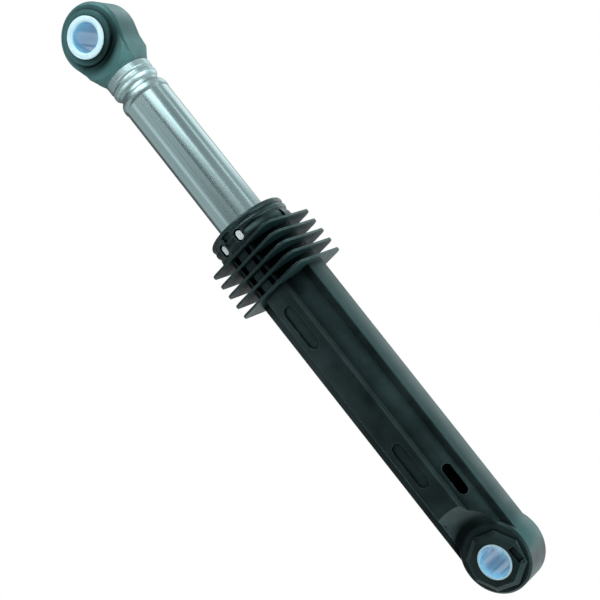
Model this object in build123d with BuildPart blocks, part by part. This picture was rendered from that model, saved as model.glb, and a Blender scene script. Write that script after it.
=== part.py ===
"""Friction damper for a washing machine drum, one solid for each physical piece.

Units are mm. The origin is the centre of the lower pin bore, +Z runs along the
damper to the rod eye, -Y is the front and the lower pin lies along Y.
"""

import os
from math import atan2, cos, radians, sin, tan

from build123d import *

os.makedirs("parts", exist_ok=True)

# Overall layout
eye_to_eye = 277.9
rod_twist = 7.8
pin_bore_d = 13.0

# Fits between pieces, on the radius
press_gap = 0.03
free_gap = 0.3
running_gap = 0.1
slide_gap = 0.06

# Bushes
bush_wall = 0.8
bush_flange_r = 9.3
bush_flange_t = 1.5
bush_stand_out = 0.25
bush_lead = 0.9

# How far a through cut runs past the wall on each side
cut_over = 2.0

# Lower eye of the cylinder
eye_r = 15.3
eye_lift = 1.2
eye_half_t = 7.8
eye_edge = 0.8
boss_r_across = 13.3
boss_r_along = 12.2
boss_sides = 8
boss_half_t = 9.8
boss_bevel_in = 1.9
boss_bevel_depth = 1.0
boss_turn = 8.5
boss_cut_x = 9.8
boss_cut_z = -2.3
boss_cut_w = 3.0
boss_cut_h = 6.4
boss_cut_depth = 1.2
scoop_r_at_eye = 18.5
scoop_slope = 1.13
scoop_blend = 3.5

# Cylinder section
tube_r = 13.1
tube_bore_r = 11.8
floor_z = 26.0
side_pad_x = 14.8
side_pad_half = 5.9
front_pad_y = 14.5
front_pad_half = 6.0
pad_draft = 0.0045
pad_round = 0.7

# Oblong marks on the front pad and the vent in the channel beside it
mark_len = 21.2
mark_w = 5.8
mark_depth = 0.7
mark_low_z = 49.2
mark_high_z = 119.6
vent_angle = 45.0
vent_len = 14.2
vent_w = 4.4
vent_z = 34.6

# Fins and the wall they stand on
fin_count = 5
fin_low_z = 139.2
fin_pitch = 5.26
fin_t = 1.0
fin_half_x = 19.3
fin_half_y = 18.0
fin_round = 4.2
fin_wall_r = 15.0
fin_pad_y = 16.2
fin_groove_x = 3.7
fin_groove_w = 2.6
fin_groove_depth = 1.5

# Collar at the mouth
mouth_z = 171.0
lining_bore_r = 13.9
lining_floor_z = 140.2
collar_r = 18.0
window_angle = 17.2
window_w = 4.1
window_h = 5.7
window_z = 164.8
surround_w = 5.4
recess_w = 4.0
recess_h = 3.2
notch_angle = 88.4
notch_w = 2.4

# Rod tube with its rolled waist
rod_r = 11.0
rod_wall = 1.0
rod_low_z = 101.0
rod_top_z = 256.2
waist_z = 247.7
waist_r = 9.6
band_r = 10.9
band_groove_z = 252.4
band_groove_half = 1.1
band_groove_depth = 0.4
swell_r = 11.35

# Rod eye
head_r = 15.6
head_half_t = 7.8
head_edge = 0.7
head_bevel_low = 25.0
head_bevel_high = 55.0
head_boss_r = 11.9
head_boss_half_t = 9.8
neck_r = 10.95
neck_flank = 9.6
neck_flare_r = 21.1
stem_low_z = 230.0

# Pieces inside
cage_wall = 0.8
cage_low_z = lining_floor_z + 0.3
cage_top_z = mouth_z - 0.5
cage_ring_t = 1.6
peg_inset = 0.5
guide_flange_t = 4.0
guide_plug_len = 8.0
guide_bore_r = 7.0
lining_slit = 2.0

pin_r = pin_bore_d / 2
bush_r = pin_r + bush_wall
peg_tip_r = collar_r - peg_inset
eye_hole_r = bush_r + press_gap
fin_top_z = fin_low_z + (fin_count - 1) * fin_pitch


def radial_plane(angle, radius, height):
    """Plane facing outwards at an angle from the front, its local y along +Z."""
    turn = radians(angle)
    out = (sin(turn), -cos(turn), 0)
    across = (cos(turn), sin(turn), 0)
    origin = (out[0] * radius, out[1] * radius, height)
    return Plane(origin=origin, x_dir=across, z_dir=out)


def pad_size(at_lower_end, height):
    """Half size of a drafted pad at a height along the cylinder."""
    return at_lower_end + pad_draft * height


def boss_corners(inset):
    """Corners of the lower eye's boss, moved in from its outline."""
    corners = []
    for index in range(boss_sides):
        turn = radians(boss_turn + index * 360 / boss_sides)
        across = (boss_r_across - inset) * cos(turn)
        along = (boss_r_along - inset) * sin(turn)
        corners.append((across, along))
    return corners


front = Plane(origin=(0, 0, 0), x_dir=(1, 0, 0), z_dir=(0, -1, 0))
back = Plane(origin=(0, 0, 0), x_dir=(-1, 0, 0), z_dir=(0, 1, 0))
rod_front = radial_plane(rod_twist, 0, eye_to_eye)
rod_back = radial_plane(rod_twist + 180, 0, eye_to_eye)
rod_side = radial_plane(rod_twist + 90, 0, eye_to_eye)

# Cylinder: tube, pads, fins, collar and lower eye in one moulding
with BuildPart() as cylinder:
    with BuildSketch(Plane.XY):
        Circle(tube_r)
    extrude(amount=fin_low_z)
    with BuildSketch(Plane.XY):
        RectangleRounded(2 * front_pad_half, 2 * pad_size(front_pad_y, 0), pad_round)
    with BuildSketch(Plane.XY.offset(fin_low_z)):
        RectangleRounded(2 * front_pad_half, 2 * pad_size(front_pad_y, fin_low_z), pad_round)
    loft()
    with BuildSketch(Plane.XY):
        RectangleRounded(2 * pad_size(side_pad_x, 0), 2 * side_pad_half, pad_round)
    with BuildSketch(Plane.XY.offset(fin_low_z)):
        RectangleRounded(2 * pad_size(side_pad_x, fin_low_z), 2 * side_pad_half, pad_round)
    loft()

    # The scoop round the pin on both faces, a wide cone blended into the eye's flank
    scoop_out = front_pad_y + 3.0
    scoop_r_out = scoop_r_at_eye + scoop_slope * (scoop_out - eye_half_t)
    cone_tilt = atan2(1, scoop_slope)
    blend_r = scoop_blend / tan(cone_tilt / 2)
    blend_sag = blend_r * (1 / cos(cone_tilt / 2) - 1)
    flank_end = scoop_r_at_eye - scoop_blend
    blend_mid_r = scoop_r_at_eye - blend_sag * sin(cone_tilt / 2)
    blend_mid_y = eye_half_t + blend_sag * cos(cone_tilt / 2)
    cone_start_r = scoop_r_at_eye + scoop_blend * cos(cone_tilt)
    cone_start_y = eye_half_t + scoop_blend * sin(cone_tilt)
    for side in (-1, 1):
        with BuildSketch(Plane.XY):
            with BuildLine():
                Line((0, side * scoop_out), (0, side * eye_half_t))
                Line((0, side * eye_half_t), (flank_end, side * eye_half_t))
                ThreePointArc(
                    (flank_end, side * eye_half_t),
                    (blend_mid_r, side * blend_mid_y),
                    (cone_start_r, side * cone_start_y),
                )
                Line((cone_start_r, side * cone_start_y), (scoop_r_out, side * scoop_out))
                Line((scoop_r_out, side * scoop_out), (0, side * scoop_out))
            make_face()
        revolve(axis=Axis.Y, mode=Mode.SUBTRACT)

    # Lower eye with an eight-sided boss on each flank
    with BuildSketch(Plane.XY.offset(eye_lift)):
        with BuildLine():
            Polyline(
                (0, -eye_half_t),
                (eye_r - eye_edge, -eye_half_t),
                (eye_r, -eye_half_t + eye_edge),
                (eye_r, eye_half_t - eye_edge),
                (eye_r - eye_edge, eye_half_t),
                (0, eye_half_t),
                close=True,
            )
        make_face()
    revolve(axis=Axis((0, 0, eye_lift), (0, 1, 0)))
    with BuildSketch(front):
        with BuildLine():
            Polyline(*boss_corners(0), close=True)
        make_face()
    extrude(amount=boss_half_t - boss_bevel_depth, both=True)
    for side in (front, back):
        with BuildSketch(side.offset(boss_half_t - boss_bevel_depth)):
            with BuildLine():
                Polyline(*boss_corners(0), close=True)
            make_face()
        with BuildSketch(side.offset(boss_half_t)):
            with BuildLine():
                Polyline(*boss_corners(boss_bevel_in), close=True)
            make_face()
        loft()

    # Wall, fins and grooved pads round the lining
    with BuildSketch(Plane.XY.offset(fin_low_z - fin_t / 2)):
        Circle(fin_wall_r)
    extrude(amount=fin_top_z - fin_low_z + fin_t)
    for index in range(fin_count):
        with BuildSketch(Plane.XY.offset(fin_low_z + index * fin_pitch - fin_t / 2)):
            RectangleRounded(2 * fin_half_x, 2 * fin_half_y, fin_round)
        extrude(amount=fin_t)
    with BuildSketch(Plane.XY.offset(fin_low_z)):
        RectangleRounded(2 * front_pad_half, 2 * fin_pad_y, pad_round)
        for groove_x in (-fin_groove_x, fin_groove_x):
            with Locations((groove_x, fin_pad_y), (groove_x, -fin_pad_y)):
                Rectangle(fin_groove_w, 2 * fin_groove_depth, mode=Mode.SUBTRACT)
    extrude(amount=fin_top_z - fin_low_z)

    # Collar: a rounded lip and two beads, cut back between the window surrounds
    collar_low_z = fin_top_z + fin_t / 2 - 0.2
    with BuildSketch(Plane.XZ):
        with BuildLine():
            Line((0, collar_low_z), (collar_r - 0.6, collar_low_z))
            ThreePointArc(
                (collar_r - 0.6, collar_low_z),
                (collar_r, mouth_z - 8.0),
                (collar_r - 0.7, mouth_z - 5.7),
            )
            Line((collar_r - 0.7, mouth_z - 5.7), (collar_r - 0.7, mouth_z - 5.2))
            ThreePointArc(
                (collar_r - 0.7, mouth_z - 5.2),
                (collar_r + 0.1, mouth_z - 3.8),
                (collar_r - 0.6, mouth_z - 2.4),
            )
            Line((collar_r - 0.6, mouth_z - 2.4), (collar_r - 0.6, mouth_z - 2.1))
            ThreePointArc(
                (collar_r - 0.6, mouth_z - 2.1),
                (collar_r + 0.1, mouth_z - 1.1),
                (collar_r - 0.4, mouth_z),
            )
            Line((collar_r - 0.4, mouth_z), (0, mouth_z))
            Line((0, mouth_z), (0, collar_low_z))
        make_face()
    revolve(axis=Axis.Z)
    for angle in (0, 180):
        with BuildSketch(radial_plane(angle, collar_r - 1.1, mouth_z - 3.1)):
            Rectangle(recess_w, recess_h)
        extrude(amount=3.1, mode=Mode.SUBTRACT)
    for angle in (-window_angle, window_angle, 180 - window_angle, 180 + window_angle):
        with BuildSketch(radial_plane(angle, 0, 0)):
            with Locations((0, (collar_low_z + mouth_z - 0.6) / 2)):
                Rectangle(surround_w, mouth_z - 0.6 - collar_low_z)
        extrude(amount=collar_r - 0.15)

    # Bores for the rod, the lining and the lower bush
    with BuildSketch(Plane.XY.offset(floor_z)):
        Circle(tube_bore_r)
    extrude(amount=mouth_z - floor_z, mode=Mode.SUBTRACT)
    with BuildSketch(Plane.XY.offset(lining_floor_z)):
        Circle(lining_bore_r)
    extrude(amount=mouth_z - lining_floor_z, mode=Mode.SUBTRACT)
    with BuildSketch(front):
        Circle(eye_hole_r)
    extrude(amount=boss_half_t + cut_over, both=True, mode=Mode.SUBTRACT)

    # Windows for the cage pegs and the side notches
    for angle in (-window_angle, window_angle, 180 - window_angle, 180 + window_angle):
        with BuildSketch(radial_plane(angle, collar_r + cut_over, window_z)):
            SlotOverall(window_h, window_w, rotation=90)
        extrude(amount=lining_bore_r - collar_r - 2 * cut_over, mode=Mode.SUBTRACT)
    for angle in (-notch_angle, notch_angle):
        with BuildSketch(radial_plane(angle, collar_r - 1.0, mouth_z - 7.6)):
            Rectangle(notch_w, 4.2)
        extrude(amount=3, mode=Mode.SUBTRACT)

    # Vent in the front right channel and the marks on the front pad
    with BuildSketch(radial_plane(vent_angle, tube_bore_r - cut_over, vent_z)):
        SlotOverall(vent_len, vent_w, rotation=90)
    extrude(amount=tube_r - tube_bore_r + 2 * cut_over, mode=Mode.SUBTRACT)
    for mark_z in (mark_low_z, mark_high_z):
        with BuildSketch(radial_plane(0, pad_size(front_pad_y, mark_z) - mark_depth, mark_z)):
            SlotOverall(mark_len, mark_w, rotation=90)
        extrude(amount=mark_depth + cut_over, mode=Mode.SUBTRACT)
    with BuildSketch(front.offset(boss_half_t - boss_cut_depth)):
        with Locations((boss_cut_x, boss_cut_z)):
            Rectangle(boss_cut_w, boss_cut_h)
    extrude(amount=boss_cut_depth + cut_over, mode=Mode.SUBTRACT)
cylinder.part.label = "cylinder"
export_step(cylinder.part, "parts/cylinder.step")

# Rod tube, plain below and rolled in round the eye's stem near the top
with BuildPart() as rod_tube:
    inner_r = rod_r - rod_wall
    with BuildSketch(Plane.XZ):
        with BuildLine():
            Line((inner_r, rod_low_z), (rod_r, rod_low_z))
            Line((rod_r, rod_low_z), (rod_r, waist_z - 6.6))
            ThreePointArc(
                (rod_r, waist_z - 6.6),
                (swell_r, waist_z - 4.6),
                (rod_r - 0.1, waist_z - 2.7),
            )
            ThreePointArc(
                (rod_r - 0.1, waist_z - 2.7),
                (waist_r, waist_z),
                (band_r, waist_z + 2.2),
            )
            Line((band_r, waist_z + 2.2), (band_r, band_groove_z - band_groove_half))
            ThreePointArc(
                (band_r, band_groove_z - band_groove_half),
                (band_r - band_groove_depth, band_groove_z),
                (band_r, band_groove_z + band_groove_half),
            )
            Line((band_r, band_groove_z + band_groove_half), (band_r, rod_top_z))
            Line((band_r, rod_top_z), (band_r - rod_wall, rod_top_z))
            Line((band_r - rod_wall, rod_top_z), (band_r - rod_wall, waist_z + 2.9))
            ThreePointArc(
                (band_r - rod_wall, waist_z + 2.9),
                (waist_r - rod_wall, waist_z),
                (inner_r - 0.1, waist_z - 3.0),
            )
            Line((inner_r - 0.1, waist_z - 3.0), (inner_r, waist_z - 4.0))
            Line((inner_r, waist_z - 4.0), (inner_r, rod_low_z))
        make_face()
    revolve(axis=Axis.Z)
    creases = rod_tube.edges().filter_by(GeomType.CIRCLE).filter_by(
        lambda e: e.radius > band_r - 0.05 and waist_z - 3 < e.center().Z < waist_z + 3
    )
    fillet(creases, 0.8)
rod_tube.part.label = "rod_tube"
export_step(rod_tube.part, "parts/rod_tube.step")

# Rod eye: flat head, tapered neck and the stem held in the tube
with BuildPart() as upper_eye:
    neck_low = rod_top_z + 0.1
    neck_drop = neck_low - eye_to_eye
    with BuildSketch(rod_side):
        with BuildLine():
            Polyline(
                (neck_r, neck_drop),
                (neck_r, neck_drop + 2.0),
                (head_half_t, -7.5),
                (head_half_t, 0),
                (-head_half_t, 0),
                (-head_half_t, -7.5),
                (-neck_r, neck_drop + 2.0),
                (-neck_r, neck_drop),
                close=True,
            )
        make_face()
    extrude(amount=head_r, both=True)
    with BuildSketch(rod_front):
        Circle(head_r - 2 * head_edge)
        with Locations((0, neck_drop + 1.5)):
            Rectangle(2 * neck_flank, 3.0)
        make_hull()
    extrude(amount=2 * neck_r, both=True, mode=Mode.INTERSECT)
    for side in (rod_front, rod_back):
        with BuildSketch(side):
            Circle(head_r)
            with Locations((0, neck_drop + 1.5)):
                Rectangle(2 * neck_flank, 3.0)
            make_hull()
        extrude(amount=head_half_t - 2 * head_edge)
        with BuildSketch(side.offset(head_half_t - 2 * head_edge)):
            Circle(head_r)
            with Locations((0, neck_drop + 1.5)):
                Rectangle(2 * neck_flank, 3.0)
            make_hull()
        extrude(amount=head_edge, taper=head_bevel_low)
        first_in = head_edge * tan(radians(head_bevel_low))
        with BuildSketch(side.offset(head_half_t - head_edge)):
            Circle(head_r - first_in)
            with Locations((0, neck_drop + 1.5)):
                Rectangle(2 * (neck_flank - first_in), 3.0 - 2 * first_in)
            make_hull()
        extrude(amount=head_edge, taper=head_bevel_high)
    with BuildSketch(Plane.XZ):
        with BuildLine():
            Polyline(
                (0, neck_low),
                (neck_r, neck_low),
                (neck_r, neck_low + 1.2),
                (neck_flare_r, eye_to_eye - 4),
                (neck_flare_r, eye_to_eye + head_r + 2),
                (0, eye_to_eye + head_r + 2),
                close=True,
            )
        make_face()
    revolve(axis=Axis.Z, mode=Mode.INTERSECT)
    with BuildSketch(rod_front):
        Circle(head_boss_r)
    extrude(amount=head_boss_half_t, both=True)
    with BuildSketch(Plane.XZ):
        with BuildLine():
            stem_r = rod_r - rod_wall - 0.05
            Polyline(
                (0, stem_low_z),
                (stem_r - 1.0, stem_low_z),
                (stem_r, stem_low_z + 1.0),
                (stem_r, waist_z - 4.2),
                (waist_r - rod_wall - 0.1, waist_z - 1.4),
                (waist_r - rod_wall - 0.1, waist_z + 1.4),
                (band_r - rod_wall - 0.05, waist_z + 4.2),
                (band_r - rod_wall - 0.05, neck_low),
                (0, neck_low),
                close=True,
            )
        make_face()
    revolve(axis=Axis.Z)
    with BuildSketch(rod_front):
        Circle(eye_hole_r)
    extrude(amount=head_boss_half_t + cut_over, both=True, mode=Mode.SUBTRACT)
upper_eye.part.label = "upper_eye"
export_step(upper_eye.part, "parts/upper_eye.step")

# Upper bush, put in from the front
with BuildPart() as upper_bush:
    with BuildSketch(rod_front.offset(head_boss_half_t + 0.05)):
        Circle(bush_flange_r)
    extrude(amount=bush_flange_t)
    with BuildSketch(rod_front.offset(head_boss_half_t + 0.05)):
        Circle(bush_r)
    extrude(amount=-(2 * head_boss_half_t + 0.05 + bush_stand_out))
    flange_rim = upper_bush.edges().filter_by(GeomType.CIRCLE).filter_by(
        lambda e: abs(e.radius - bush_flange_r) < 0.01
    )
    fillet(flange_rim, 0.4)
    with BuildSketch(rod_front):
        Circle(pin_r)
    extrude(amount=3 * boss_half_t, both=True, mode=Mode.SUBTRACT)
    mouth = upper_bush.faces().filter_by(Axis(rod_front.origin, rod_front.z_dir)).sort_by(
        lambda f: rod_front.to_local_coords(f.center()).Z
    )[-1]
    chamfer(mouth.inner_wires()[0].edges(), bush_lead)
upper_bush.part.label = "upper_bush"
export_step(upper_bush.part, "parts/upper_bush.step")

# Lower bush, the same kind put in from the back
with BuildPart() as lower_bush:
    with BuildSketch(back.offset(boss_half_t + 0.05)):
        Circle(bush_flange_r)
    extrude(amount=bush_flange_t)
    with BuildSketch(back.offset(boss_half_t + 0.05)):
        Circle(bush_r)
    extrude(amount=-(2 * boss_half_t + 0.05 + bush_stand_out))
    flange_rim = lower_bush.edges().filter_by(GeomType.CIRCLE).filter_by(
        lambda e: abs(e.radius - bush_flange_r) < 0.01
    )
    fillet(flange_rim, 0.4)
    with BuildSketch(back):
        Circle(pin_r)
    extrude(amount=3 * boss_half_t, both=True, mode=Mode.SUBTRACT)
    mouth = lower_bush.faces().filter_by(Axis(back.origin, back.z_dir)).sort_by(
        lambda f: back.to_local_coords(f.center()).Z
    )[-1]
    chamfer(mouth.inner_wires()[0].edges(), bush_lead)
lower_bush.part.label = "lower_bush"
export_step(lower_bush.part, "parts/lower_bush.step")

# Cage round the lining, held by four pegs in the collar windows
with BuildPart() as lining_cage:
    cage_out_r = lining_bore_r - free_gap
    cage_in_r = cage_out_r - cage_wall
    ring_in_r = rod_r + free_gap
    with BuildSketch(Plane.XZ):
        with BuildLine():
            Polyline(
                (ring_in_r, cage_low_z),
                (cage_out_r, cage_low_z),
                (cage_out_r, cage_top_z),
                (ring_in_r, cage_top_z),
                (ring_in_r, cage_top_z - cage_ring_t),
                (cage_in_r, cage_top_z - cage_ring_t),
                (cage_in_r, cage_low_z + cage_ring_t),
                (ring_in_r, cage_low_z + cage_ring_t),
                close=True,
            )
        make_face()
    revolve(axis=Axis.Z)
    for angle in (-window_angle, window_angle, 180 - window_angle, 180 + window_angle):
        with BuildSketch(radial_plane(angle, cage_in_r + 0.3, window_z)):
            SlotOverall(window_h - 2 * free_gap, window_w - 2 * free_gap, rotation=90)
        extrude(amount=peg_tip_r - cage_in_r - 0.3, taper=6)
lining_cage.part.label = "lining_cage"
export_step(lining_cage.part, "parts/lining_cage.step")

# Friction lining, a strip bent round the rod with a slit at the back
with BuildPart() as friction_lining:
    lining_low_z = cage_low_z + cage_ring_t + free_gap
    lining_len = cage_top_z - cage_low_z - 2 * cage_ring_t - 2 * free_gap
    with BuildSketch(Plane.XY.offset(lining_low_z)):
        Circle(cage_in_r - 0.1)
        Circle(rod_r + slide_gap, mode=Mode.SUBTRACT)
        with Locations((0, cage_in_r)):
            Rectangle(lining_slit, 8, mode=Mode.SUBTRACT)
    extrude(amount=lining_len)
friction_lining.part.label = "friction_lining"
export_step(friction_lining.part, "parts/friction_lining.step")

# Guide at the rod's inner end, its flange running in the tube
with BuildPart() as end_guide:
    flange_top = rod_low_z - 0.1
    with BuildSketch(Plane.XY.offset(flange_top - guide_flange_t)):
        Circle(tube_bore_r - running_gap)
    extrude(amount=guide_flange_t)
    with BuildSketch(Plane.XY.offset(flange_top)):
        Circle(rod_r - rod_wall - 0.05)
    extrude(amount=guide_plug_len)
    with BuildSketch(Plane.XY.offset(flange_top - guide_flange_t)):
        Circle(guide_bore_r)
    extrude(amount=guide_flange_t + guide_plug_len, mode=Mode.SUBTRACT)
end_guide.part.label = "end_guide"
export_step(end_guide.part, "parts/end_guide.step")
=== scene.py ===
"""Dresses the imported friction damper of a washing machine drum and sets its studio.

The CAD nodes keep their shapes and get procedural finishes. The soft lining strip is modelled here in
place of its plain solid. Units are metres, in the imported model's own frame: the origin is the lower
pin bore, +Z runs to the rod eye and -Y is the front.
"""

import logging
import math
from dataclasses import dataclass, field
from enum import Enum
from typing import Any

import bpy
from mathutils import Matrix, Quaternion, Vector


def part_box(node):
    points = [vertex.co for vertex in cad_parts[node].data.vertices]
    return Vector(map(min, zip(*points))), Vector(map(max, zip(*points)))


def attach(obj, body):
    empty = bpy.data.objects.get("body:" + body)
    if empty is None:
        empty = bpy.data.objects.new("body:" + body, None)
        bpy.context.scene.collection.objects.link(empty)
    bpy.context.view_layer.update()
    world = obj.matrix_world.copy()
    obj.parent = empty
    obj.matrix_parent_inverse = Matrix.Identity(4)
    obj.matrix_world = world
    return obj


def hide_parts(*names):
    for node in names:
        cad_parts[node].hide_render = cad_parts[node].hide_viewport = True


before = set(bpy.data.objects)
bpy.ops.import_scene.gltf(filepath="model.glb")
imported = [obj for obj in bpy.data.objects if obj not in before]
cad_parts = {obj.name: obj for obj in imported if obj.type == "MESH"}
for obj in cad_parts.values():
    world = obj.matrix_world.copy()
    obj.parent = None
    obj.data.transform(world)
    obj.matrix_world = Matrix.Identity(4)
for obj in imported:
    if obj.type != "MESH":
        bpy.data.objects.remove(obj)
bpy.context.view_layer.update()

log = logging.getLogger("damper")

Colour = tuple[float, float, float]
Point = tuple[float, float, float]
Range = tuple[float, float]
Socket = bpy.types.NodeSocket

BLACK: Colour = (0.0, 0.0, 0.0)
WHITE: Colour = (1.0, 1.0, 1.0)
ORIGIN: Point = (0.0, 0.0, 0.0)
UP: Point = (0.0, 0.0, 1.0)
RISE: Range = (0.0, 1.0)
FALL: Range = (1.0, 0.0)

# Most of a noise value lies between these
NOISE_MIDDLE: Range = (0.3, 0.7)

# Strength of each octave of noise against the one before it
OCTAVE_SHARE = 0.55


class Mix(Enum):
    """What a mix node mixes: Blender's name for it, its two inputs and its output."""

    VALUE = ("FLOAT", 2, 3, 0)
    COLOUR = ("RGBA", 6, 7, 2)


@dataclass(frozen=True)
class Pattern:
    """Noise over a surface.

    Attributes:
        per_m: cycles per metre.
        octaves: octaves of finer noise.
        stretch: factor on the coordinates along each axis, or None for even noise.
    """

    per_m: float
    octaves: float = 3.0
    stretch: Point | None = None


class Graph:
    """Node tree of one material or world, with short calls to add and join its nodes."""

    # Dot products and shares of a normal between which a mask rises from 0 to 1
    ROUNDED_EDGE: Range = (0.995, 0.85)
    LOOKS_SIDEWAYS: Range = (0.86, 0.99)
    LIES_FLAT: Range = (0.93, 0.99)

    # The outer faces begin at a reach, and count in full at this many times that reach
    OUTER_FULL = 1.2

    # Rays that each sample sends to round an edge and to find how open a place is
    EDGE_RAYS = 6
    OPENNESS_RAYS = 8

    def __init__(self, owner: bpy.types.Material | bpy.types.World) -> None:
        """Empties the owner's node tree.

        Args:
            owner: the material or world whose nodes are made.
        """
        owner.use_nodes = True
        self.tree = owner.node_tree
        self.tree.nodes.clear()

    def add(self, kind: str, **settings: Any) -> bpy.types.Node:
        """Adds a node.

        Args:
            kind: Blender's type name of the node.
            settings: properties to set on it.

        Returns:
            The new node.
        """
        node = self.tree.nodes.new(kind)
        for name, value in settings.items():
            setattr(node, name, value)
        return node

    def join(self, socket: Socket, value: Any) -> None:
        """Joins another node's output to an input, or sets a plain value on it.

        Args:
            socket: the input.
            value: an output socket, a number, a vector or a linear colour.
        """
        if isinstance(value, Socket):
            self.tree.links.new(value, socket)
        elif socket.type == "RGBA":
            socket.default_value = (*value, 1.0)
        else:
            socket.default_value = value

    def fill(self, node: bpy.types.Node, **values: Any) -> bpy.types.Node:
        """Fills a node's inputs by name, with underscores for spaces.

        Args:
            node: the node to fill.
            values: what join takes, for each input.

        Returns:
            The same node.
        """
        for name, value in values.items():
            self.join(node.inputs[name.replace("_", " ")], value)
        return node

    def calculate(self, operation: str, *values: Any) -> Socket:
        """Works out a number.

        Args:
            operation: Blender's name of the operation.
            values: sockets or numbers, in the order of the node's inputs.

        Returns:
            The number.
        """
        node = self.add("ShaderNodeMath", operation=operation)
        for socket, value in zip(node.inputs, values):
            self.join(socket, value)
        return node.outputs[0]

    def calculate_vector(self, operation: str, *values: Any) -> Socket:
        """Works out a vector, or a number from vectors.

        Args:
            operation: Blender's name of the operation.
            values: sockets or vectors, in the order of the node's inputs.

        Returns:
            The number for a dot product or a length, and the vector for the rest.
        """
        node = self.add("ShaderNodeVectorMath", operation=operation)
        for socket, value in zip(node.inputs, values):
            self.join(socket, value)
        gives_number = operation in ("DOT_PRODUCT", "LENGTH")
        return node.outputs["Value" if gives_number else "Vector"]

    def times(self, first: Any, second: Any) -> Socket:
        """Product of two values."""
        return self.calculate("MULTIPLY", first, second)

    def mix(self, kind: Mix, factor: Socket, first: Any, second: Any) -> Socket:
        """Mixes two values or two colours.

        Args:
            kind: what is mixed.
            factor: share of the second.
            first: what join takes.
            second: what join takes.

        Returns:
            The mixed value or colour.
        """
        blender_name, first_input, second_input, output = kind.value
        node = self.add("ShaderNodeMix", data_type=blender_name)
        self.join(node.inputs[0], factor)
        self.join(node.inputs[first_input], first)
        self.join(node.inputs[second_input], second)
        return node.outputs[output]

    def blend(self, factor: Socket, first: Any, second: Any) -> Socket:
        """Mixes two colours, by the share of the second."""
        return self.mix(Mix.COLOUR, factor, first, second)

    def choose(self, factor: Socket, first: Any, second: Any) -> Socket:
        """Mixes two values, by the share of the second."""
        return self.mix(Mix.VALUE, factor, first, second)

    def spread(self, value: Socket, source: Range, result: Range = RISE) -> Socket:
        """Maps a value from one range to another, held at its ends.

        Args:
            value: the value to map.
            source: the range that it comes from.
            result: the range that it goes to.

        Returns:
            The mapped value.
        """
        node = self.add("ShaderNodeMapRange", clamp=True)
        self.fill(node, Value=value, From_Min=source[0], From_Max=source[1])
        self.fill(node, To_Min=result[0], To_Max=result[1])
        return node.outputs["Result"]

    def coords(self) -> Socket:
        """Object coordinates of the surface."""
        return self.add("ShaderNodeTexCoord").outputs["Object"]

    def normal(self) -> Socket:
        """Normal of the surface."""
        return self.add("ShaderNodeNewGeometry").outputs["Normal"]

    def part_of(self, vector: Socket, axis: str) -> Socket:
        """Part of a vector along X, Y or Z."""
        return self.fill(self.add("ShaderNodeSeparateXYZ"), Vector=vector).outputs[axis]

    def size_along(self, vector: Socket, axis: str) -> Socket:
        """Size, without its sign, of a vector's part along X, Y or Z."""
        return self.calculate("ABSOLUTE", self.part_of(vector, axis))

    def noise(self, place: Socket, pattern: Pattern) -> Socket:
        """Noise value over the surface.

        Args:
            place: Object coordinates.
            pattern: the noise to make.

        Returns:
            The noise value, about 0.5 on average.
        """
        if pattern.stretch is not None:
            mapping = self.fill(self.add("ShaderNodeMapping"), Vector=place, Scale=pattern.stretch)
            place = mapping.outputs["Vector"]
        node = self.add("ShaderNodeTexNoise")
        self.fill(node, Vector=place, Scale=pattern.per_m)
        self.fill(node, Detail=pattern.octaves, Roughness=OCTAVE_SHARE)
        return node.outputs["Fac"]

    def distance_from_line(self, place: Socket, point: Point, along: Point) -> Socket:
        """Distance of the surface from a straight line.

        Args:
            place: Object coordinates.
            point: a point on the line.
            along: the line's unit direction.

        Returns:
            The distance in metres.
        """
        offset = self.calculate_vector("SUBTRACT", place, point)
        return self.calculate_vector("LENGTH", self.calculate_vector("CROSS_PRODUCT", offset, along))

    def soft_edges(self, radius: float) -> tuple[Socket, Socket]:
        """Rounded shading across sharp edges.

        Args:
            radius: radius of the rounding in metres.

        Returns:
            The rounded normal, and a mask that is 1 on the edges and 0 away from them.
        """
        bevel = self.fill(self.add("ShaderNodeBevel", samples=self.EDGE_RAYS), Radius=radius)
        rounded = bevel.outputs["Normal"]
        agreement = self.calculate_vector("DOT_PRODUCT", rounded, self.normal())
        return rounded, self.spread(agreement, self.ROUNDED_EDGE)

    def openness(self, reach: float) -> Socket:
        """How open the surface lies, 1 in the open and towards 0 in corners and gaps.

        Args:
            reach: how far in metres other surfaces still count.

        Returns:
            The openness.
        """
        node = self.add("ShaderNodeAmbientOcclusion", samples=self.OPENNESS_RAYS)
        return self.fill(node, Distance=reach).outputs["AO"]

    def sideways(self, place: Socket, reach: float) -> Socket:
        """Share that is 1 on the outer faces that look along X, either way, and 0 on the rest.

        Args:
            place: Object coordinates.
            reach: distance in metres from the middle plane where outer faces begin.

        Returns:
            The share.
        """
        facing = self.spread(self.size_along(self.normal(), "X"), self.LOOKS_SIDEWAYS)
        outer = self.spread(self.size_along(place, "X"), (reach, self.OUTER_FULL * reach))
        return self.times(facing, outer)

    def crowned(self, normal: Socket, place: Socket, half: float, lean: float) -> Socket:
        """Shades flat faces that look along X or Y as slightly crowned across.

        Args:
            normal: the normal to start from.
            place: Object coordinates.
            half: half width of a face in metres.
            lean: lean of the normal at that half width.

        Returns:
            The crowned normal.
        """
        offset = self.add("ShaderNodeCombineXYZ")
        for across, other in (("X", "Y"), ("Y", "X")):
            share = self.spread(self.size_along(normal, other), self.LIES_FLAT)
            shift = self.spread(self.part_of(place, across), (-half, half), (-lean, lean))
            self.join(offset.inputs[across], self.times(share, shift))
        leaning = self.calculate_vector("ADD", normal, offset.outputs["Vector"])
        return self.calculate_vector("NORMALIZE", leaning)

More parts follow.
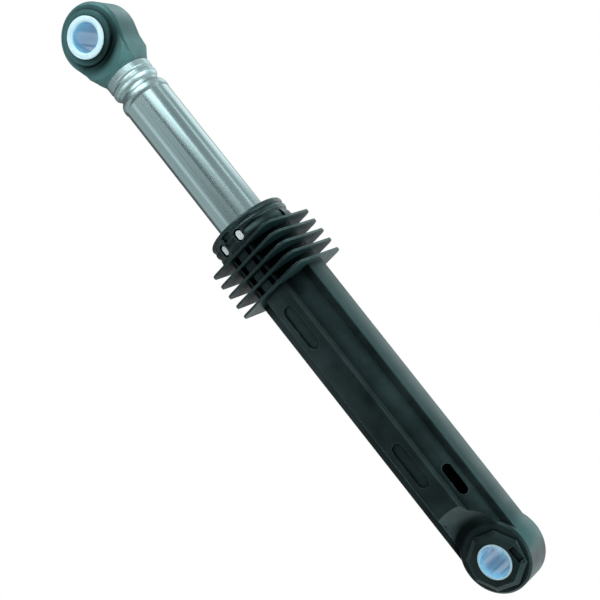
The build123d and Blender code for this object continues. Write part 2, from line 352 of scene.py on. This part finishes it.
    def bump(self, height: Socket, strength: float, depth: float, normal: Socket | None = None) -> Socket:
        """Bumps a normal by a height.

        Args:
            height: the height value.
            strength: how much of the bump is used.
            depth: depth in metres of a height of 1.
            normal: the normal to start from, or None for the surface's own.

        Returns:
            The bumped normal.
        """
        node = self.add("ShaderNodeBump")
        self.fill(node, Height=height, Strength=strength, Distance=depth)
        if normal is not None:
            self.fill(node, Normal=normal)
        return node.outputs["Normal"]

    def surface(self, **values: Any) -> None:
        """Ends a material in the principled shader.

        Args:
            values: the shader's inputs by name.
        """
        shader = self.fill(self.add("ShaderNodeBsdfPrincipled"), **values)
        self.fill(self.add("ShaderNodeOutputMaterial"), Surface=shader.outputs["BSDF"])


@dataclass(frozen=True)
class Finish:
    """A finish made of nodes on an object's own coordinates."""

    name: str

    def make(self) -> bpy.types.Material:
        """Builds the finish as a material.

        Returns:
            The material.
        """
        material = bpy.data.materials.new(self.name)
        graph = Graph(material)
        self.paint(graph, graph.coords())
        return material

    def paint(self, graph: Graph, place: Socket) -> None:
        """Adds the finish's nodes.

        Args:
            graph: the material's graph.
            place: Object coordinates.
        """
        raise NotImplementedError


@dataclass(frozen=True)
class BossShadow:
    """Painted shadow round a boss: colour darkened round it, most of it to one side.

    Attributes:
        centre: a point on the boss's axis.
        along: the axis's unit direction.
        inner: radius up to which the painted shadow is full.
        outer: radius where it ends.
        lean: direction of the side where most of it lies.
        amount: share of painted shadow on that side.
        foot: radius where the painted shadow starts.
        foot_fade: width over which it starts.
    """

    centre: Point
    along: Point
    inner: float
    outer: float
    lean: Point
    amount: float
    foot: float = 0.0
    foot_fade: float = 0.001

    def mask(self, graph: Graph, place: Socket) -> Socket:
        """Where the painted shadow lies.

        Args:
            graph: the material's graph.
            place: Object coordinates.

        Returns:
            The share of painted shadow, 0 where the plastic is unshaded.
        """
        radius = graph.distance_from_line(place, self.centre, self.along)
        started = graph.spread(radius, (self.foot, self.foot + self.foot_fade))
        ring = graph.times(started, graph.spread(radius, (self.inner, self.outer), FALL))
        offset = graph.calculate_vector("SUBTRACT", place, self.centre)
        drop = graph.calculate_vector("DOT_PRODUCT", offset, self.lean)
        return graph.times(ring, graph.spread(drop, (0.0, self.inner), (0.0, self.amount)))


@dataclass(frozen=True)
class SideLight:
    """Painted light: pale teal colour on the outer faces that look sideways, where the light falls,
    fullest round the lower eye.

    Attributes:
        colour: the painted light's linear colour.
        outer_from: distance from the middle plane where the outer faces begin.
        eye_end: heights between which the painted light thins out above the eye.
        above: share that is left above them.
        flow_range: values of the plastic's flow noise between which the streaks rise.
        streaks: share of painted light in the thinnest and the thickest streaks.
        gloss_left: share of the plastic's gloss that shows through.
    """

    colour: Colour
    outer_from: float = 0.009
    eye_end: Range = (0.004, 0.018)
    above: float = 0.4
    flow_range: Range = (0.25, 0.75)
    streaks: Range = (0.6, 1.0)
    gloss_left: float = 0.2

    def mask(self, graph: Graph, place: Socket, flow: Socket) -> Socket:
        """Where the painted light lies.

        Args:
            graph: the material's graph.
            place: Object coordinates.
            flow: the plastic's flow noise.

        Returns:
            The share of painted light.
        """
        faded = graph.spread(graph.part_of(place, "Z"), self.eye_end, (1.0, self.above))
        streaked = graph.times(faded, graph.spread(flow, self.flow_range, self.streaks))
        return graph.times(graph.sideways(place, self.outer_from), streaked)


@dataclass(frozen=True)
class MouldedPlastic(Finish):
    """Glass filled black plastic with a spark eroded grain, flow mottling, rubbed edges that carry a
    painted highlight, painted shade in its gaps and round a boss, and painted light on its side faces.

    Attributes:
        deep: the darkest mottling.
        bloom: the palest mottling.
        rubbed: colour of the rubbed edges, partly wear and partly a painted highlight.
        rough: least and greatest roughness along the flow.
        gloss: level of the gloss, before clouds, the painted shade in gaps and the painted shadow round a
            boss change it.
        sheen: tint of the gloss.
        haze: weight of the dusty haze at grazing angles.
        gap_reach: how far other surfaces still count in the painted shade of a gap.
        gap_dark: share of the colour that the painted shade leaves deep in a gap.
        crown_lean: lean of the shading at the sides of flat faces, 0 for none.
        side_light: the painted light on the side faces, if any.
        dull_below: height below which the gloss falls, if it does.
        boss_shadow: the painted shadow round a boss, if any.
    """

    deep: Colour
    bloom: Colour
    rubbed: Colour
    rough: Range
    gloss: float
    sheen: Colour = (0.4, 0.9, 0.96)
    haze: float = 0.12
    haze_rough: float = 0.35
    haze_tint: Colour = (0.3, 0.88, 0.95)
    mottle: Pattern = Pattern(75.0, 5.0)
    mottle_range: Range = (0.35, 0.7)
    cloud_range: Range = (0.32, 0.68)
    cloud_gloss: Range = (0.74, 1.2)
    flow: Pattern = Pattern(260.0, stretch=(1.0, 1.0, 0.12))
    rub: Pattern = Pattern(420.0)
    rub_range: Range = (0.35, 0.62)
    rub_share: Range = (0.35, 1.0)
    grain: Pattern = Pattern(5200.0, 2.0)
    grain_strength: float = 0.5
    grain_depth: float = 0.00002
    edge_radius: float = 0.00035
    gap_reach: float = 0.009
    gap_range: Range = (0.38, 0.98)
    gap_dark: float = 0.18
    crown_half: float = 0.006
    crown_lean: float = 0.0
    side_light: SideLight | None = None
    dull_below: float | None = None
    dull_fade: float = 0.035
    dull_share: float = 0.72
    boss_shadow: BossShadow | None = None

    def paint(self, graph: Graph, place: Socket) -> None:
        """Adds the plastic's nodes.

        Args:
            graph: the material's graph.
            place: Object coordinates.
        """
        mottle = graph.noise(place, self.mottle)
        flow = graph.noise(place, self.flow)
        grain = graph.noise(place, self.grain)
        face, edge = graph.soft_edges(self.edge_radius)
        # Paler edges: partly wear and partly a painted highlight.
        patchy = graph.spread(graph.noise(place, self.rub), self.rub_range, self.rub_share)
        mottled = graph.blend(graph.spread(mottle, self.mottle_range), self.deep, self.bloom)
        colour = graph.blend(graph.times(edge, patchy), mottled, self.rubbed)
        # Painted shade: the colour darkens, and the gloss dims, in corners and gaps.
        unshaded = graph.spread(graph.openness(self.gap_reach), self.gap_range, (self.gap_dark, 1.0))
        # Painted shadow round the boss: it darkens the colour and dims the gloss.
        if self.boss_shadow is not None:
            unshadowed = graph.spread(self.boss_shadow.mask(graph, place), RISE, FALL)
            unshaded = graph.times(unshaded, unshadowed)
        gloss = graph.times(unshaded, self.cloudy_gloss(graph, mottle))
        if self.dull_below is not None:
            fade = (self.dull_below - self.dull_fade, self.dull_below)
            dulled = graph.spread(graph.part_of(place, "Z"), fade, (self.dull_share, 1.0))
            gloss = graph.times(gloss, dulled)
        # Painted light: the side faces are paled towards teal, with less gloss.
        if self.side_light is not None:
            side_lit = self.side_light.mask(graph, place, flow)
            colour = graph.blend(side_lit, colour, self.side_light.colour)
            gloss = graph.times(gloss, graph.spread(side_lit, RISE, (1.0, self.side_light.gloss_left)))
        if self.crown_lean > 0.0:
            face = graph.crowned(face, place, self.crown_half, self.crown_lean)
        graph.surface(
            Base_Color=graph.blend(unshaded, BLACK, colour),
            Roughness=graph.spread(flow, NOISE_MIDDLE, self.rough),
            Specular_IOR_Level=gloss,
            Specular_Tint=self.sheen,
            Sheen_Weight=self.haze,
            Sheen_Roughness=self.haze_rough,
            Sheen_Tint=self.haze_tint,
            Normal=graph.bump(grain, self.grain_strength, self.grain_depth, face),
        )

    def cloudy_gloss(self, graph: Graph, mottle: Socket) -> Socket:
        """Gloss that clouds over with the mottling.

        Args:
            graph: the material's graph.
            mottle: the mottling's noise.

        Returns:
            The level of the gloss.
        """
        dimmest, brightest = self.cloud_gloss
        return graph.spread(mottle, self.cloud_range, (dimmest * self.gloss, brightest * self.gloss))


@dataclass(frozen=True)
class ZincSteel(Finish):
    """Drawn steel tube under zinc: fine lengthwise lines, faint clouding and rubbed rings.

    Attributes:
        dull: the darkest zinc.
        bright: the brightest zinc.
        rough: least and greatest roughness of the drawn tube.
        rolled_from: height above which the tube is rolled in, and rougher.
        rolled_extra: roughness that the rolling adds.
    """

    dull: Colour
    bright: Colour
    rough: Range
    rolled_from: float
    rolled_fade: float = 0.003
    rolled_extra: float = 0.16
    lines: Pattern = Pattern(1500.0, 2.0, (1.0, 1.0, 0.006))
    clouds: Pattern = Pattern(80.0, 1.0, (1.0, 1.0, 0.25))
    rings: Pattern = Pattern(1500.0, 2.0, (0.03, 0.03, 1.0))
    line_share: float = 0.28
    cloud_share: float = 0.6
    tone_range: Range = (0.16, 0.7)
    scratch_strength: float = 0.03
    scratch_depth: float = 0.000002

    def paint(self, graph: Graph, place: Socket) -> None:
        """Adds the steel's nodes.

        Args:
            graph: the material's graph.
            place: Object coordinates.
        """
        lines = graph.noise(place, self.lines)
        clouds = graph.noise(place, self.clouds)
        rings = graph.noise(place, self.rings)
        worn = graph.times(graph.spread(lines, NOISE_MIDDLE), self.line_share)
        tone = graph.calculate("MULTIPLY_ADD", clouds, self.cloud_share, worn)
        fade = (self.rolled_from, self.rolled_from + self.rolled_fade)
        rolled = graph.spread(graph.part_of(place, "Z"), fade, (0.0, self.rolled_extra))
        drawn = graph.spread(clouds, NOISE_MIDDLE, self.rough)
        scratched = graph.bump(lines, self.scratch_strength, self.scratch_depth)
        graph.surface(
            Base_Color=graph.blend(graph.spread(tone, self.tone_range), self.dull, self.bright),
            Metallic=1.0,
            Roughness=graph.calculate("ADD", drawn, rolled),
            Normal=graph.bump(rings, self.scratch_strength, self.scratch_depth, scratched),
        )


@dataclass(frozen=True)
class BushPlastic(Finish):
    """Milky white bearing plastic, polished on the wall of its bore, which carries a darker bluish
    painted shade.

    Attributes:
        milk: the palest mottling.
        shade: the darkest mottling.
        bore: colour of the painted shade on the bore's wall.
        centre: a point on the bore's axis.
        along: the axis's unit direction.
        bore_radius: radius of the bore.
        tint_reach: how far from the wall the bore's painted shade reaches.
        tint_full: how far from the wall it is full.
        depth_share: share of the light that goes into the plastic.
        depth: how deep it goes.
    """

    milk: Colour
    shade: Colour
    bore: Colour
    centre: Point
    along: Point
    bore_radius: float
    tint_reach: float
    tint_full: float = 0.00005
    rough: float = 0.42
    bore_rough: float = 0.1
    gloss: float = 0.5
    depth_share: float = 0.12
    depth: float = 0.0015
    mottle: Pattern = Pattern(160.0, 4.0)
    mottle_range: Range = (0.35, 0.7)
    grain: Pattern = Pattern(3800.0, 2.0)
    grain_strength: float = 0.25
    grain_depth: float = 0.00001
    edge_radius: float = 0.0002

    def paint(self, graph: Graph, place: Socket) -> None:
        """Adds the bush's nodes.

        Args:
            graph: the material's graph.
            place: Object coordinates.
        """
        mottled = graph.spread(graph.noise(place, self.mottle), self.mottle_range)
        body = graph.blend(mottled, self.milk, self.shade)
        # Painted shade: the bore's wall takes the darker bluish bore colour.
        radius = graph.distance_from_line(place, self.centre, self.along)
        wall = (self.bore_radius + self.tint_full, self.bore_radius + self.tint_reach)
        inside = graph.spread(radius, wall, FALL)
        face, _ = graph.soft_edges(self.edge_radius)
        grain = graph.noise(place, self.grain)
        graph.surface(
            Base_Color=graph.blend(inside, body, self.bore),
            Roughness=graph.spread(inside, RISE, (self.rough, self.bore_rough)),
            Specular_IOR_Level=self.gloss,
            Subsurface_Weight=self.depth_share,
            Subsurface_Scale=self.depth,
            Normal=graph.bump(grain, self.grain_strength, self.grain_depth, face),
        )


@dataclass(frozen=True)
class NaturalPlastic(Finish):
    """Uncoloured white plastic of the inner pieces, with faint flow lines.

    Attributes:
        milk: the palest flow lines, and the edges.
        shade: the darkest flow lines.
        rough: least and greatest roughness along the flow.
        depth_share: share of the light that goes into the plastic.
        depth: how deep it goes.
        edge_share: share of the palest colour on the edges.
    """

    milk: Colour
    shade: Colour
    rough: Range = (0.38, 0.5)
    gloss: float = 0.45
    depth_share: float = 0.1
    depth: float = 0.001
    flow: Pattern = Pattern(240.0, 4.0, (1.0, 1.0, 0.3))
    grain: Pattern = Pattern(3600.0, 2.0)
    grain_strength: float = 0.3
    grain_depth: float = 0.00001
    edge_radius: float = 0.00025
    edge_share: float = 0.35

    def paint(self, graph: Graph, place: Socket) -> None:
        """Adds the plastic's nodes.

        Args:
            graph: the material's graph.
            place: Object coordinates.
        """
        flow = graph.noise(place, self.flow)
        face, edge = graph.soft_edges(self.edge_radius)
        base = graph.blend(graph.spread(flow, NOISE_MIDDLE), self.milk, self.shade)
        grain = graph.noise(place, self.grain)
        graph.surface(
            Base_Color=graph.blend(graph.times(edge, self.edge_share), base, self.milk),
            Roughness=graph.spread(flow, NOISE_MIDDLE, self.rough),
            Specular_IOR_Level=self.gloss,
            Subsurface_Weight=self.depth_share,
            Subsurface_Scale=self.depth,
            Normal=graph.bump(grain, self.grain_strength, self.grain_depth, face),
        )


@dataclass(frozen=True)
class GreasedFoam(Finish):
    """Open celled foam soaked with grease."""

    foam: Colour
    grease: Colour
    dry_rough: float = 0.85
    wet_rough: float = 0.4
    gloss: float = 0.4
    cells_per_m: float = 1500.0
    pore_range: Range = (0.1, 0.55)
    pore_dark: float = 0.35
    pore_strength: float = 0.8
    pore_depth: float = 0.00012
    soak: Pattern = Pattern(130.0, 4.0)
    soak_range: Range = (0.35, 0.65)

    def paint(self, graph: Graph, place: Socket) -> None:
        """Adds the foam's nodes.

        Args:
            graph: the material's graph.
            place: Object coordinates.
        """
        cells = graph.add("ShaderNodeTexVoronoi", feature="F1")
        graph.fill(cells, Vector=place, Scale=self.cells_per_m)
        pores = graph.spread(cells.outputs["Distance"], self.pore_range)
        soak = graph.spread(graph.noise(place, self.soak), self.soak_range)
        wet = graph.blend(soak, self.foam, self.grease)
        dark = tuple(self.pore_dark * part for part in self.grease)
        graph.surface(
            Base_Color=graph.blend(pores, dark, wet),
            Roughness=graph.spread(soak, RISE, (self.dry_rough, self.wet_rough)),
            Specular_IOR_Level=self.gloss,
            Normal=graph.bump(pores, self.pore_strength, self.pore_depth),
        )


def dress_node(node: str, finish: Finish) -> None:
    """Gives a CAD node its finish.

    Args:
        node: the node's name.
        finish: the finish to make for it.
    """
    material = finish.make()
    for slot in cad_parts[node].material_slots:
        slot.material = material
    log.info("dressed %s with %s", node, material.name)


def clear_selection() -> None:
    """Leaves nothing selected and no object in edit mode."""
    if bpy.context.object is not None and bpy.context.object.mode != "OBJECT":
        bpy.ops.object.mode_set(mode="OBJECT")
    bpy.ops.object.select_all(action="DESELECT")


@dataclass
class LiningStrip:
    """The foam strip that grips the rod, bent round it with a slit at the back.

    Attributes:
        node: the CAD solid that it stands for.
        body: the body that it rides on.
        swell: how far the tube's swell, its widest place, stands out from the rod.
        rod_gap: gap between the rod and the strip.
        slit: width of the slit.
        corner: size of the rounded edges.
        corner_steps: faces across a rounded edge.
        corner_deg: edges sharper than this are rounded.
        smooth_deg: edges flatter than this are shaded smooth.
        steps: faces round the strip.
        merge: distance within which points are merged.
    """

    node: str = "friction_lining"
    body: str = "cylinder"
    swell: float = 0.00035
    rod_gap: float = 0.00007
    slit: float = 0.002
    corner: float = 0.0003
    corner_steps: int = 3
    corner_deg: float = 50.0
    smooth_deg: float = 40.0
    steps: int = 96
    merge: float = 0.000002
    foam: GreasedFoam = GreasedFoam("greased_foam", (0.42, 0.39, 0.3), (0.2, 0.18, 0.12))

    def build(self) -> bpy.types.Object:
        """Models the strip in place of its CAD solid.

        Returns:
            The strip's object.
        """
        low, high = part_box(self.node)
        outer = high.x
        inner = self.inner_radius()
        middle = (inner + outer) / 2
        half_slit = math.asin(self.slit / 2 / middle)
        quarter = math.pi / 2
        clear_selection()
        bpy.ops.mesh.primitive_plane_add(size=1.0, location=ORIGIN)
        strip = bpy.context.object
        strip.name = "lining_strip"
        bpy.ops.object.mode_set(mode="EDIT")
        bpy.ops.mesh.select_all(action="SELECT")
        bpy.ops.transform.resize(value=(outer - inner, high.z - low.z, 1.0))
        bpy.ops.transform.rotate(value=-quarter, orient_axis="X", center_override=ORIGIN)
        bpy.ops.transform.translate(value=(middle, 0.0, (low.z + high.z) / 2))
        # Here rotate and spin both turn clockwise about +Z for a positive angle
        bpy.ops.transform.rotate(value=half_slit - quarter, orient_axis="Z", center_override=ORIGIN)
        bpy.ops.mesh.spin(steps=self.steps, angle=2 * (math.pi - half_slit), center=ORIGIN, axis=UP)
        bpy.ops.mesh.select_all(action="SELECT")
        bpy.ops.mesh.remove_doubles(threshold=self.merge)
        bpy.ops.mesh.normals_make_consistent(inside=False)
        bpy.ops.object.mode_set(mode="OBJECT")
        self.round_corners(strip)
        return strip

    def inner_radius(self) -> float:
        """Radius of the strip's inside, a gap outside the rod."""
        _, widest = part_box("rod_tube")
        return widest.x - self.swell + self.rod_gap

    def round_corners(self, strip: bpy.types.Object) -> None:
        """Rounds the cut edges of the strip.

        Args:
            strip: the strip's object, which is the active one.
        """
        bevel = strip.modifiers.new("corners", "BEVEL")
        bevel.width = self.corner
        bevel.segments = self.corner_steps
        bevel.limit_method = "ANGLE"
        bevel.angle_limit = math.radians(self.corner_deg)
        bpy.ops.object.modifier_apply(modifier=bevel.name)
        bpy.ops.object.shade_smooth_by_angle(angle=math.radians(self.smooth_deg))

    def dress(self) -> None:
        """Builds the strip, gives it its finish and puts it on its body."""
        strip = self.build()
        strip.data.materials.append(self.foam.make())
        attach(strip, self.body)
        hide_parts(self.node)
        log.info("built %s in place of %s", strip.name, self.node)


class Side(Enum):
    """Which way a bush was put in, as the sign of its flange along the eye's front axis."""

    FRONT = 1
    BACK = -1


@dataclass
class Eye:
    """One end's bush: where its pin bore lies and which way it was put in."""

    bush: str
    centre: Point
    turn_deg: float
    side: Side
    bore_radius: float = 0.0065
    tint_reach: float = 0.0004
    milk: Colour = (0.62, 0.86, 0.92)
    shade: Colour = (0.5, 0.76, 0.84)
    # Painted shade on the bore's wall.
    bore: Colour = (0.24, 0.56, 0.76)

    def dress(self) -> None:
        """Gives the bush its finish, with the painted shade in its bore."""
        finish = BushPlastic(
            name=f"{self.bush}_plastic",
            milk=self.milk,
            shade=self.shade,
            bore=self.bore,
            centre=self.centre,
            along=self.along(),
            bore_radius=self.bore_radius,
            tint_reach=self.tint_reach,
        )
        dress_node(self.bush, finish)

    def along(self) -> Point:
        """The pin bore's direction, out of the side where the flange lies."""
        turn = math.radians(self.turn_deg)
        return (math.sin(turn) * self.side.value, -math.cos(turn) * self.side.value, 0.0)


def lower_eye() -> Eye:
    """The cylinder's eye, whose bush's colours are darkened as painted shade."""
    return Eye(
        "lower_bush",
        ORIGIN,
        0.0,
        Side.BACK,
        tint_reach=0.0005,
        # Darker bush colours: painted shade on the bush's ring.
        milk=(0.33, 0.46, 0.49),
        shade=(0.27, 0.39, 0.43),
    )


def upper_eye() -> Eye:
    """The rod's eye, turned a little from the cylinder's."""
    return Eye("upper_bush", (0.0, 0.0, 0.2779), 7.8, Side.FRONT)


@dataclass
class CylinderHalf:
    """The moulded cylinder with its bush, cage and lining."""

    eye: Eye = field(default_factory=lower_eye)
    strip: LiningStrip = field(default_factory=LiningStrip)

    def dress(self) -> None:
        """Dresses the cylinder's nodes and builds the lining."""
        black = MouldedPlastic(
            name="cylinder_plastic",
            deep=(0.0018, 0.0028, 0.003),
            bloom=(0.0065, 0.0105, 0.0108),
            rubbed=(0.045, 0.068, 0.07),
            rough=(0.32, 0.44),
            gloss=0.5,
            sheen=(0.48, 0.9, 0.93),
            gap_dark=0.1,
            crown_lean=0.2,
            # Painted light on the side faces that look along X.
            side_light=SideLight((0.036, 0.09, 0.092)),
            dull_below=0.095,
            # Painted shade round the eye's boss, most of it above.
            boss_shadow=BossShadow(
                centre=self.eye.centre,
                along=self.eye.along(),
                inner=0.018,
                outer=0.0215,
                lean=(-0.35, 0.0, 0.94),
                amount=0.9,
                foot=0.0143,
            ),
        )
        dress_node("cylinder", black)
        self.eye.dress()
        dress_node("lining_cage", NaturalPlastic("cage_plastic", (0.56, 0.64, 0.65), (0.46, 0.54, 0.55)))
        self.strip.dress()


@dataclass
class RodHalf:
    """The steel rod tube with its moulded eye, bush and inner guide."""

    eye: Eye = field(default_factory=upper_eye)

    def dress(self) -> None:
        """Dresses the rod's nodes."""
        steel = ZincSteel(
            name="zinc_steel",
            dull=(0.22, 0.33, 0.345),
            bright=(0.38, 0.52, 0.53),
            rough=(0.2, 0.28),
            rolled_from=0.241,
        )
        dress_node("rod_tube", steel)
        black = MouldedPlastic(
            name="rod_eye_plastic",
            deep=(0.043, 0.116, 0.118),
            bloom=(0.066, 0.152, 0.153),
            rubbed=(0.09, 0.15, 0.15),
            rough=(0.34, 0.46),
            gloss=0.4,
            # Stronger painted shade in gaps and corners.
            gap_reach=0.013,
            gap_dark=0.06,
            # Painted shadow under the bush's boss, most of it below.
            boss_shadow=BossShadow(
                centre=self.eye.centre,
                along=self.eye.along(),
                inner=0.0142,
                outer=0.0176,
                lean=(0.3, 0.0, -0.95),
                amount=0.95,
            ),
        )
        dress_node("upper_eye", black)
        self.eye.dress()
        dress_node("end_guide", NaturalPlastic("guide_plastic", (0.74, 0.76, 0.72), (0.6, 0.63, 0.6)))


@dataclass
class Lamp:
    """One soft box, placed round the damper's middle.

    Attributes:
        name: the lamp's name.
        azimuth: degrees from the front towards +X.
        elevation: degrees above the middle.
        distance: distance from the middle.
        width: width of the box.
        height: height of the box.
        watts: the lamp's power.
        roll: degrees by which the box is turned about its own axis.
    """

    name: str
    azimuth: float
    elevation: float
    distance: float
    width: float
    height: float
    watts: float
    roll: float = 0.0

    def build(self, target: Point) -> None:
        """Adds the lamp, facing the target.

        Args:
            target: the point that the lamp faces.
        """
        turn = math.radians(self.azimuth)
        rise = math.radians(self.elevation)
        level = math.cos(rise)
        away = Vector((math.sin(turn) * level, -math.cos(turn) * level, math.sin(rise)))
        data = bpy.data.lights.new(self.name, "AREA")
        data.shape = "RECTANGLE"
        data.size = self.width
        data.size_y = self.height
        data.energy = self.watts
        lamp = bpy.data.objects.new(self.name, data)
        bpy.context.scene.collection.objects.link(lamp)
        lamp.location = Vector(target) + away * self.distance
        lamp.rotation_mode = "QUATERNION"
        spin = Quaternion(UP, math.radians(self.roll))
        lamp.rotation_quaternion = away.to_track_quat("Z", "Y") @ spin
        log.info("lamp %s", self.name)


@dataclass(frozen=True)
class PaleFloor(Finish):
    """Pale floor that glows white to the camera and dimly in the damper's gloss."""

    dim: Colour = (0.88, 0.89, 0.89)
    bright: Colour = (0.93, 0.93, 0.93)
    speckle: Pattern = Pattern(9.0, 4.0)
    rough: float = 0.85
    gloss: float = 0.2
    glow: Range = (0.34, 0.76)
    glow_reach: Range = (0.4, 2.0)
    glow_in_gloss: float = 0.35

    def paint(self, graph: Graph, place: Socket) -> None:
        """Adds the floor's nodes.

        Args:
            graph: the material's graph.
            place: Object coordinates.
        """
        rays = graph.add("ShaderNodeLightPath").outputs
        mirrored = graph.times(rays["Is Glossy Ray"], self.glow_in_gloss)
        away = graph.distance_from_line(place, ORIGIN, UP)
        seen = graph.spread(away, self.glow_reach, self.glow)
        graph.surface(
            Base_Color=graph.blend(graph.noise(place, self.speckle), self.dim, self.bright),
            Roughness=self.rough,
            Specular_IOR_Level=self.gloss,
            Emission_Color=WHITE,
            Emission_Strength=graph.choose(rays["Is Camera Ray"], mirrored, seen),
        )


@dataclass
class Studio:
    """Floor, world, lamps and the camera at the photograph's angle.

    Attributes:
        target: the damper's middle, which the lamps face.
        ambient: strength of the world as light.
        gloss_range: strength of the world in gloss, away from the bright side and towards it.
        bright_side: direction of the world's bright side.
        bright_from: dot products with that direction between which the strength rises.
        lens: focal length in millimetres, as the sensor's width is.
    """

    target: Point = (0.0, 0.0, 0.14)
    floor: PaleFloor = PaleFloor("pale_floor")
    floor_z: float = -0.45
    floor_size: float = 6.0
    camera_place: Point = (0.282315, -0.439251, 0.031111)
    camera_turn: tuple[float, float, float, float] = (0.636322, 0.627053, 0.448368, -0.029399)
    camera_clip: Range = (0.01, 50.0)
    sensor_width: float = 36.0
    lens: float = 76.712
    ambient: float = 0.3
    gloss_range: Range = (0.12, 0.7)
    bright_side: Point = (0.6, 0.76, -0.25)
    bright_from: Range = (-0.25, 0.7)
    lamps: tuple[Lamp, ...] = (
        Lamp("key_box", 58.0, 39.0, 1.1, 0.6, 0.6, 3.5, -11.0),
        Lamp("edge_strip", 113.0, 4.0, 1.0, 0.1, 0.9, 0.44),
        Lamp("back_high", 160.0, 30.0, 1.0, 0.7, 0.4, 1.0),
        Lamp("back_low", 168.0, -13.0, 1.0, 0.7, 0.8, 2.7),
        Lamp("left_panel", -62.0, 18.0, 1.0, 1.2, 0.6, 1.4),
        Lamp("left_high", -8.0, 27.0, 1.0, 1.2, 0.3, 0.8),
        Lamp("top_box", 35.0, 60.0, 1.0, 0.7, 0.7, 6.6),
        Lamp("right_low", 92.0, -42.0, 0.5, 0.4, 0.4, 2.2),
        Lamp("under_box", -11.0, -47.0, 0.69, 0.24, 0.24, 1.0),
        Lamp("low_left", -98.0, -55.0, 0.5, 0.35, 0.35, 0.25),
    )

    def build(self) -> None:
        """Builds the whole studio."""
        bpy.context.scene.view_settings.view_transform = "Standard"
        self.build_floor()
        self.build_world()
        for lamp in self.lamps:
            lamp.build(self.target)
        self.build_camera()

    def build_floor(self) -> None:
        """Adds the pale floor below the part."""
        clear_selection()
        bpy.ops.mesh.primitive_plane_add(size=self.floor_size, location=(0.0, 0.0, self.floor_z))
        floor = bpy.context.object
        floor.name = "floor"
        floor.data.materials.append(self.floor.make())

    def build_world(self) -> None:
        """Makes the world white to the camera, plain as light and brighter on one side in gloss."""
        world = bpy.data.worlds.new("studio")
        bpy.context.scene.world = world
        graph = Graph(world)
        rays = graph.add("ShaderNodeLightPath").outputs
        seen = graph.calculate("MAXIMUM", rays["Is Camera Ray"], rays["Is Transmission Ray"])
        looking = graph.add("ShaderNodeTexCoord").outputs["Generated"]
        facing = graph.calculate_vector("DOT_PRODUCT", looking, self.bright_side)
        gloss = graph.spread(facing, self.bright_from, self.gloss_range)
        unseen = graph.choose(rays["Is Glossy Ray"], self.ambient, gloss)
        white = graph.add("ShaderNodeBackground")
        graph.fill(white, Color=WHITE, Strength=graph.choose(seen, unseen, 1.0))
        graph.fill(graph.add("ShaderNodeOutputWorld"), Surface=white.outputs["Background"])

    def build_camera(self) -> None:
        """Adds the camera where the photograph was taken from."""
        data = bpy.data.cameras.new("photo_camera")
        data.sensor_fit = "HORIZONTAL"
        data.sensor_width = self.sensor_width
        data.lens = self.lens
        data.clip_start, data.clip_end = self.camera_clip
        camera = bpy.data.objects.new("photo_camera", data)
        bpy.context.scene.collection.objects.link(camera)
        camera.location = self.camera_place
        camera.rotation_mode = "QUATERNION"
        camera.rotation_quaternion = Quaternion(self.camera_turn)
        bpy.context.scene.camera = camera


def main() -> None:
    """Builds and dresses the damper, then its studio."""
    logging.basicConfig(level=logging.INFO, format="%(name)s: %(message)s")
    CylinderHalf().dress()
    RodHalf().dress()
    Studio().build()


if __name__ == "__main__":
    main()
